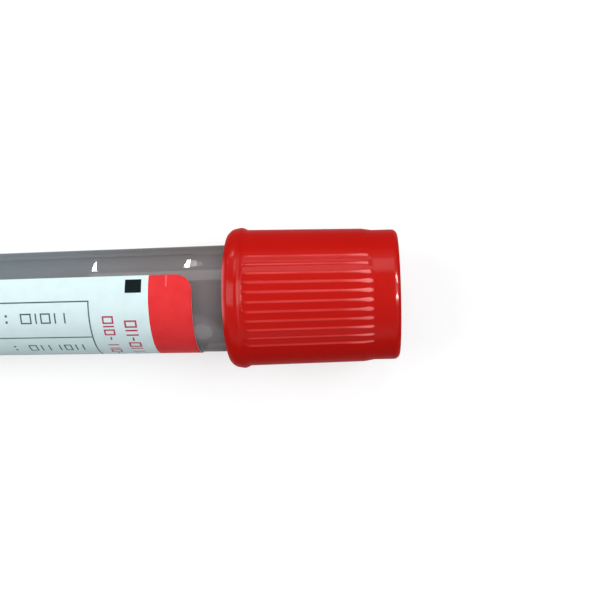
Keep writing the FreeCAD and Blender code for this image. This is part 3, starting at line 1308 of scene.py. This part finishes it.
@dataclass(frozen=True)
class Streak:
    """A row of small lamps that show as one mark round the tube's wall, from one place to another.

    The lengths are those of the first and the last lamp along the tube, in metres.
    """

    name: str
    start: Place
    end: Place
    lengths: Span
    radiance: float
    steps: int

    def glints(self, lean: float, reach: float, overlap: float = 1.1) -> list[Glint]:
        """The lamps of the row.

        Args:
            lean: Angle in degrees by which the wall leans towards the cap's end.
            reach: How far from the wall the lamps hang, in metres.
            overlap: Width of a lamp, where 1 only just meets the next.

        Returns:
            The lamps.
        """
        turn = math.radians(abs(self.end[2] - self.start[2]) / self.steps)
        width = turn * (2 * reach + self.start[1] * MM) * overlap
        found: list[Glint] = []
        for i in range(self.steps):
            part = (i + 0.5) / self.steps
            place = Vector(self.start).lerp(Vector(self.end), part)
            length = self.lengths[0] + (self.lengths[1] - self.lengths[0]) * part
            size = (width, length)
            found.append(Glint(f"{self.name}_{i}", tuple(place), lean, size, self.radiance, reach))
        return found


GLINTS = (
    Glint("glint_end_a", (82.85, 7.62, -13.2), 21.0, (0.003, 0.016), 90.0, 0.02, Face.ELLIPSE),
    Glint("glint_end_b", (82.85, 7.62, 2.2), 21.0, (0.003, 0.016), 90.0, 0.02, Face.ELLIPSE),
    Glint("glint_flank", (63.55, 7.9, -20.0), -42.0, (0.32, 0.06), 5.0, 0.5),
)
STREAKS = (
    Streak("glint_wall_mid", (48.17, 6.29, -33.6), (48.1, 6.29, -48.5), (0.00082, 0.00016), 60.0, 9),
    Streak("glint_wall_cap", (59.0, 6.38, -35.0), (59.15, 6.38, -46.0), (0.00095, 0.0006), 60.0, 6),
    Streak("glint_wall_tail", (59.75, 6.38, -36.0), (59.75, 6.38, -44.0), (0.001, 0.0008), 8.0, 3),
    Streak("glint_wall_fade", (60.4, 6.38, -36.5), (60.4, 6.38, -42.0), (0.0009, 0.0007), 3.0, 2),
)


@dataclass
class Studio:
    """The plain pale floor, the soft studio light, and the camera that looks down on the cap end."""

    axis: TubeAxis
    tube: Tube
    floor_size: float = 4.0
    floor_colour: float = 0.44
    floor_lift: float = 0.63
    far_floor_lift: float = 0.85
    far_floor: Span = (0.2, 1.0)
    fill: float = 0.36
    fill_colour: Colour = (0.97, 0.99, 1.0)
    ceiling: float = 0.1
    ceiling_height: Span = (0.15, 0.75)
    aim_s: float = 60.0
    sheen_s: float = 40.0
    sheen_way: Place = (0.0, 0.3965, 0.3045)
    sheen_size: Span = (0.34, 0.21)
    sheen_radiance: float = 2.8
    wing_way: Place = (0.384, 0.072, 0.456)
    wing_size: float = 0.35
    wing_radiance: float = 3.9
    streak_reach: float = 0.03
    look_s: float = 72.0
    distance: float = 99.6
    shift: Span = (0.40, 0.435)
    roll: float = 1.42
    lean: float = 3.9
    lens: float = 49.8
    sensor: float = 36.0
    clip_start: float = 0.005

    def build_floor(self) -> None:
        """Lay the floor: it shades plainly, and looks pale to the camera and in gloss."""
        shape = bmesh.new()
        bmesh.ops.create_grid(shape, x_segments=8, y_segments=8, size=self.floor_size)
        floor = show("studio_floor", shape)
        material = bpy.data.materials.new("studio_floor_pale")
        material.use_nodes = True
        nodes = Nodes(material.node_tree)
        grey = full((self.floor_colour,) * 3)
        plain = nodes.make("ShaderNodeBsdfDiffuse", {}, {"Color": grey}).outputs[0]
        way = nodes.make("ShaderNodeTexCoord").outputs["Object"]
        length = nodes.make("ShaderNodeVectorMath", {"operation": "LENGTH"}, {0: way}).outputs["Value"]
        far = Varying(nodes, length).ramp(*self.far_floor)
        lift = far.tint((self.floor_lift,) * 3, (self.far_floor_lift,) * 3)
        glow = nodes.make("ShaderNodeEmission", {}, {"Color": lift})
        pale = nodes.make("ShaderNodeAddShader", {}, {0: plain, 1: glow.outputs[0]}).outputs[0]
        mixed = nodes.make("ShaderNodeMixShader", {}, {0: nodes.seen(), 1: plain, 2: pale})
        nodes.make("ShaderNodeOutputMaterial", {}, {"Surface": mixed.outputs[0]})
        floor.data.materials.append(material)

    def build_world(self) -> None:
        """Surround the tube with a soft fill, which looks like a white backdrop under a grey ceiling."""
        world = bpy.data.worlds.new("studio_world")
        bpy.context.scene.world = world
        world.use_nodes = True
        nodes = Nodes(world.node_tree)
        way = nodes.make("ShaderNodeTexCoord").outputs["Generated"]
        height = Varying(nodes, nodes.make("ShaderNodeSeparateXYZ", {}, {0: way}).outputs[2])
        backdrop = height.ramp(*self.ceiling_height).tint((1.0, 1.0, 1.0), (self.ceiling,) * 3)
        shown, fill = (nodes.make("ShaderNodeBackground", {}, {"Color": full(colour), "Strength": strength})
                       for colour, strength in ((backdrop, 1.0), (self.fill_colour, self.fill)))
        inputs = {0: nodes.seen(), 1: fill.outputs[0], 2: shown.outputs[0]}
        mixed = nodes.make("ShaderNodeMixShader", {}, inputs)
        nodes.make("ShaderNodeOutputWorld", {}, {"Surface": mixed.outputs[0]})

    def lamp(self, name: str, place: Vector, aim: Vector, size: Span, radiance: float,
             face: Face = Face.RECTANGLE, wide: Vector | None = None) -> bpy.types.Object:
        """Hang an area lamp.

        Args:
            name: The lamp's name.
            place: Where it hangs, in metres.
            aim: The point that it faces.
            size: Its width and height in metres.
            radiance: How bright its face is, where 1 is a white surface in full light.
            face: The outline of its face.
            wide: The direction of its width, which is level unless it is given.

        Returns:
            The lamp.
        """
        data = bpy.data.lights.new(name, "AREA")
        data.shape = face.value
        data.size, data.size_y = size
        area = size[0] * size[1] * (math.pi / 4 if face is Face.ELLIPSE else 1.0)
        data.energy = radiance * math.pi * area
        lamp = bpy.data.objects.new(name, data)
        bpy.context.scene.collection.objects.link(lamp)
        towards = (place - aim).normalized()
        wide = (wide or Vector((0.0, 0.0, 1.0)).cross(towards)).normalized()
        lamp.matrix_world = Matrix((wide, towards.cross(wide), towards)).transposed().to_4x4()
        lamp.matrix_world.translation = place
        lamp.visible_camera = False
        return lamp

    def hang(self, glint: Glint) -> None:
        """Hang a small lamp where the camera sees its reflection at the glint's place, and nowhere else."""
        point = self.axis.place(*glint.place)
        out = (point - self.axis.place(glint.place[0], 0.0, 0.0)).normalized()
        lean = math.radians(glint.lean)
        normal = out * math.cos(lean) + self.axis.along * math.sin(lean)
        view = (bpy.context.scene.camera.matrix_world.translation - point).normalized()
        way = normal * (2 * view.dot(normal)) - view
        wide = self.axis.along.cross(way)
        place = point + way * glint.reach
        lamp = self.lamp(glint.name, place, point, glint.size, glint.radiance, glint.face, wide)
        lamp.visible_diffuse = False

    def build_lamps(self) -> None:
        """Hang the sheen panel over the tube's side, a soft wing at each end, and the lamps that glint."""
        middle = self.axis.place(self.sheen_s, 0.0, 0.0)
        aim = self.axis.place(self.aim_s, 0.0, 0.0)
        self.lamp("sheen_panel", middle + Vector(self.sheen_way), aim, self.sheen_size, self.sheen_radiance)
        for name, side in (("wing_left", -1.0), ("wing_right", 1.0)):
            place = middle + Vector(self.wing_way) * Vector((side, 1.0, 1.0))
            self.lamp(name, place, aim, (self.wing_size, self.wing_size), self.wing_radiance)
        for streak in STREAKS:
            for glint in streak.glints(-math.degrees(self.tube.draft), self.streak_reach):
                self.hang(glint)
        for glint in GLINTS:
            self.hang(glint)

    def build_camera(self) -> bpy.types.Object:
        """Set the camera above the tube, square to it but for a small lean and roll.

        Returns:
            The camera.
        """
        lean, roll = math.radians(self.lean), math.radians(self.roll)
        towards = self.axis.along * math.sin(lean) + self.axis.up * math.cos(lean)
        level = (self.axis.along - towards * math.sin(lean)).normalized()
        across = towards.cross(level)
        right = level * math.cos(roll) - across * math.sin(roll)
        upward = level * math.sin(roll) + across * math.cos(roll)
        target = self.axis.place(self.look_s, 0.0, 0.0)
        data = bpy.data.cameras.new("camera")
        data.sensor_width = self.sensor
        data.lens = self.lens
        data.clip_start = self.clip_start
        data.dof.use_dof = False
        camera = bpy.data.objects.new("camera", data)
        camera.matrix_world = Matrix((right, upward, towards)).transposed().to_4x4()
        offset = towards * self.distance - right * self.shift[0] - upward * self.shift[1]
        camera.matrix_world.translation = target + offset * MM
        bpy.context.scene.collection.objects.link(camera)
        bpy.context.scene.camera = camera
        return camera

    def build(self) -> None:
        """Set up the whole studio."""
        bpy.context.scene.view_settings.view_transform = "Standard"
        self.build_camera()
        self.build_floor()
        self.build_world()
        self.build_lamps()


def main() -> None:
    """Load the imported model, dress every piece of it, and set up the studio."""
    logging.basicConfig(level=logging.INFO, format="%(name)s: %(message)s")
    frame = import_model()
    axis = TubeAxis.from_record(frame["record"])
    tube = Tube(axis)
    stopper = Stopper(axis, tube)
    for part in (tube, stopper, SafetyCap(axis, tube, stopper), Label(axis, tube)):
        piece = part.build()
        log.info("%s: %s points, %s faces", piece.name, len(piece.data.vertices), len(piece.data.polygons))
    Studio(axis, tube).build()


if __name__ == "__main__":
    main()
